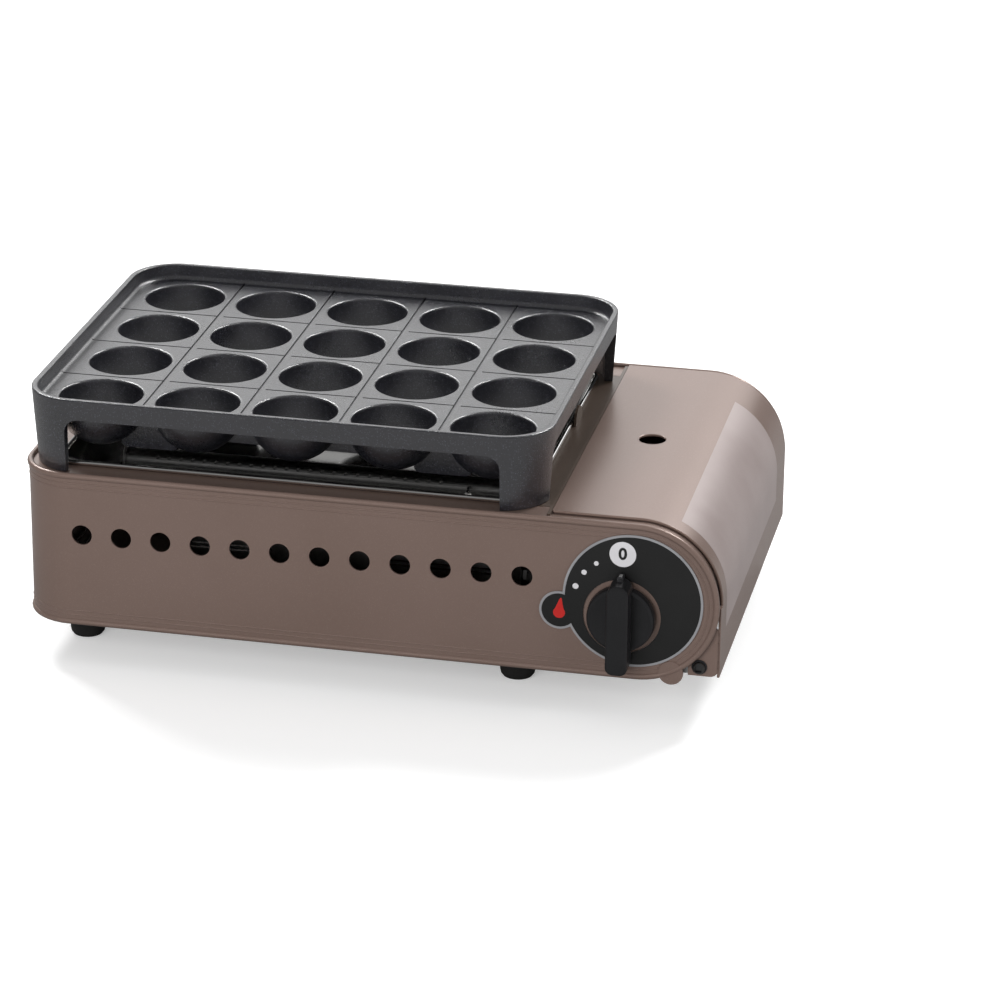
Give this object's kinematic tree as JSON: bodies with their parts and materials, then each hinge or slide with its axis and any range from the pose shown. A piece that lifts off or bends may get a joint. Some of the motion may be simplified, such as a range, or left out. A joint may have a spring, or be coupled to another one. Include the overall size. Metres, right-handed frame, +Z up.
{
  "type": "takoyaki maker",
  "caption": "Countertop gas cooker for octopus balls: a cast plate of round pits on four legs over a burner and drip pan, with a hinged canister cover and a turning knob",
  "frame": {"origin": "bottom centre of the bounding box, at the height the feet stand on", "axes": "+X along the width towards the canister bay, +Y to the back, +Z up"},
  "size_m": [0.348, 0.231, 0.139],
  "materials": {
    "body_paint": "brown metallic paint",
    "dark_paint": "dark brown paint",
    "cast_coating": "cast, dark sandy non-stick coat",
    "bright_chrome": "bright",
    "zinc_plate": "zinc plated sheet",
    "screw_steel": "plated",
    "brass": "machined",
    "black_plastic": "satin black",
    "black_rubber": "matt black",
    "dial_black": "satin black with a silver edge",
    "white_plastic": "white",
    "white_ceramic": "glazed white"
  },
  "bodies": {
    "body": {"body_shell": "body_paint", "base_plate": "body_paint", "foot_front_left": "black_rubber", "foot_front_right": "black_rubber", "foot_rear_left": "black_rubber", "foot_rear_right": "black_rubber", "partition_wall": "dark_paint", "canister_cradle": "zinc_plate", "hinge_arm_front": "zinc_plate", "hinge_arm_rear": "zinc_plate", "hinge_bush_front": "black_plastic", "hinge_bush_rear": "black_plastic", "hinge_screw_front": "screw_steel", "hinge_screw_rear": "screw_steel", "drip_pan": "bright_chrome", "burner_stand": "zinc_plate", "burner": "zinc_plate", "burner_support_left": "zinc_plate", "burner_support_right": "zinc_plate", "burner_clamp": "bright_chrome", "mixing_tube": "zinc_plate", "gas_jet": "brass", "jet_nut": "brass", "gas_pipe": "brass", "valve_block": "zinc_plate", "valve_bracket": "zinc_plate", "magnet_ring": "black_plastic", "magnet_left": "screw_steel", "magnet_right": "screw_steel", "dial_plate": "dial_black", "piezo_igniter": "white_plastic", "igniter_clip": "screw_steel", "igniter_lead": "white_plastic", "electrode_insulator": "white_ceramic", "electrode_tip": "screw_steel", "electrode_bracket": "bright_chrome", "electrode_screw": "screw_steel", "wall_screw_front": "screw_steel", "wall_screw_rear": "screw_steel", "stand_screw_front": "screw_steel", "stand_screw_rear": "screw_steel", "cradle_screw_front": "screw_steel", "cradle_screw_rear": "screw_steel", "valve_bracket_screw": "screw_steel", "hinge_arm_screw_front": "screw_steel", "hinge_arm_screw_rear": "screw_steel", "valve_screw_left": "screw_steel", "valve_screw_right": "screw_steel", "igniter_clip_screw": "screw_steel"},
    "plate": {"takoyaki_plate": "cast_coating"},
    "cover": {"container_cover": "body_paint"},
    "control": {"knob": "black_plastic", "spindle": "screw_steel", "snail_cam": "white_plastic"},
    "plunger": {"igniter_plunger": "brass"}
  },
  "joints": [
    {"name": "plate_lift", "type": "slide", "parent": "body", "child": "plate", "axis": [0, 0, 1], "range_m": [0, 0.06]},
    {"name": "cover_hinge", "type": "hinge", "parent": "body", "child": "cover", "pos_m": [0.1643, 0.007, 0.0308], "axis": [0, 1, 0], "range_deg": [0, 95]},
    {"name": "knob_turn", "type": "hinge", "parent": "body", "child": "control", "pos_m": [0.1269, -0.102, 0.0545], "axis": [0, -1, 0], "range_deg": [0, 84]},
    {"name": "plunger_slide", "type": "slide", "parent": "body", "child": "plunger", "axis": [0, 0, 1], "range_m": [0, 0.005]}
  ],
  "couplings": [
    {"joint": "plunger_slide", "follows": "knob_turn", "m_per_rad": 0.0034105}
  ]
}
